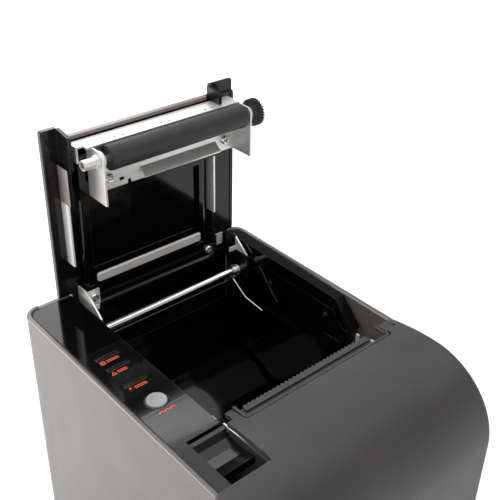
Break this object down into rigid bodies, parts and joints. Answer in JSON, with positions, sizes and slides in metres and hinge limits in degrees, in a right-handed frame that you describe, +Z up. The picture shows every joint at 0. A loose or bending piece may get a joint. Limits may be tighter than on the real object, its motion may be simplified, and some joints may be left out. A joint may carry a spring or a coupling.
{
  "type": "receipt printer",
  "caption": "Desktop thermal receipt printer with its rear-hinged paper lid open, showing the platen roller, paper bucket, control strip, release lever and front cover.",
  "frame": {"origin": "on the table under the centre of the body's footprint, where the rubber feet stand", "axes": "+Z up, front of the printer towards -Y, control strip on the -X side"},
  "size_m": [0.1466, 0.194, 0.2385],
  "materials": {
    "case_black": "satin moulded ABS",
    "cover_black": "fine spark-eroded texture, satin",
    "gloss_black": "polished black ABS",
    "lid_black": "polished black ABS, slightly duller",
    "overlay": "glossy printed film",
    "button_grey": "pale grey, satin",
    "lens_smoke": "smoked clear plastic",
    "rubber_black": "ground rubber",
    "bright_steel": "zinc-plated sheet, bright",
    "shaft_steel": "ground and plated",
    "screw_steel": "nickel-plated",
    "blade_steel": "hardened strip",
    "bush_metal": "turned and plated",
    "screw_dark": "black oxide",
    "gear_black": "acetal",
    "inner_black": "plain",
    "socket_metal": "tinned",
    "board_green": "solder mask",
    "motor_metal": "plain can",
    "head_alu": "extruded",
    "head_ceramic": "glazed"
  },
  "bodies": {
    "case": {"base_tray": "case_black", "rubber_feet": "rubber_black", "case_screws": "screw_steel", "side_panel_left": "case_black", "side_panel_right": "case_black", "lower_front_panel": "case_black", "rear_panel": "case_black", "front_cover": "cover_black", "exit_rim": "cover_black", "tear_bar": "cover_black", "top_deck": "gloss_black", "control_overlay": "overlay", "led_windows": "lens_smoke", "button_board": "board_green", "tact_switch": "inner_black", "paper_bucket": "gloss_black", "roll_guide": "gloss_black", "bucket_screws": "screw_dark", "paper_end_sensor": "inner_black", "hinge_shaft": "shaft_steel", "shaft_clips": "shaft_steel", "hinge_spring": "shaft_steel", "mech_frame": "bright_steel", "head_springs": "shaft_steel", "paper_chute": "inner_black", "feed_motor": "motor_metal", "idler_pin": "shaft_steel", "cutter_base": "blade_steel", "cutter_motor": "motor_metal", "latch_spring": "shaft_steel", "main_board": "board_green", "dc_jack": "inner_black", "usb_port": "socket_metal", "drawer_port": "inner_black", "lan_port": "socket_metal", "switch_housing": "inner_black"},
    "lid": {"lid_shell": "lid_black", "lid_inner_panel": "gloss_black", "guide_bar": "bright_steel", "arm_left": "bright_steel", "arm_right": "bright_steel", "arm_screws": "screw_steel", "platen_bracket": "bright_steel", "bracket_screws": "screw_steel", "fixed_blade": "blade_steel", "platen_bushes": "bush_metal"},
    "platen": {"platen_shaft": "shaft_steel", "platen_rubber": "rubber_black", "platen_gear": "gear_black"},
    "button": {"feed_button": "button_grey"},
    "latch": {"latch_shaft": "shaft_steel", "latch_hooks": "blade_steel", "release_lever": "lid_black"},
    "print_head": {"head_sink": "head_alu", "thermal_head": "head_ceramic"},
    "idler": {"idler_gear": "gear_black"},
    "pinion": {"motor_pinion": "gear_black"},
    "cutter_blade": {"moving_blade": "blade_steel"},
    "cutter_drive": {"cutter_gear": "gear_black"},
    "rocker": {"power_rocker": "inner_black"}
  },
  "joints": [
    {"name": "lid_hinge", "type": "hinge", "parent": "case", "child": "lid", "pos_m": [0, 0.0774, 0.1265], "axis": [1, 0, 0], "range_deg": [0, 90]},
    {"name": "platen_spin", "type": "hinge", "parent": "lid", "child": "platen", "pos_m": [0, 0.0765, 0.2248], "axis": [1, 0, 0], "continuous": true},
    {"name": "feed_press", "type": "slide", "parent": "case", "child": "button", "axis": [0, 0, -1], "range_m": [0, 0.0008], "stiffness_N_per_m": 600, "springref_m": -0.001},
    {"name": "latch_turn", "type": "hinge", "parent": "case", "child": "latch", "pos_m": [0, -0.024, 0.1], "axis": [1, 0, 0], "range_deg": [0, 8], "stiffness_Nm_per_rad": 0.4, "springref_deg": -11.46},
    {"name": "head_pivot", "type": "hinge", "parent": "case", "child": "print_head", "pos_m": [0, -0.0314, 0.1155], "axis": [1, 0, 0], "range_deg": [0, 2], "stiffness_Nm_per_rad": 1, "springref_deg": -5.73},
    {"name": "idler_spin", "type": "hinge", "parent": "case", "child": "idler", "pos_m": [0.066, -0.03005, 0.10975], "axis": [1, 0, 0], "continuous": true},
    {"name": "pinion_spin", "type": "hinge", "parent": "case", "child": "pinion", "pos_m": [0.066, -0.04039, 0.10107], "axis": [1, 0, 0], "continuous": true},
    {"name": "cutter_slide", "type": "slide", "parent": "case", "child": "cutter_blade", "axis": [0, 1, 0], "range_m": [0, 0.007]},
    {"name": "cutter_turn", "type": "hinge", "parent": "case", "child": "cutter_drive", "pos_m": [0.008, -0.041, 0.14], "axis": [0, 0, 1], "range_deg": [0, 72]},
    {"name": "rocker_tilt", "type": "hinge", "parent": "case", "child": "rocker", "pos_m": [0.068, -0.06, 0.038], "axis": [0, 0, 1], "range_deg": [0, 16]}
  ],
  "couplings": [
    {"joint": "pinion_spin", "follows": "idler_spin", "ratio": -2.8571},
    {"joint": "cutter_turn", "follows": "cutter_slide", "rad_per_m": 178.57}
  ]
}
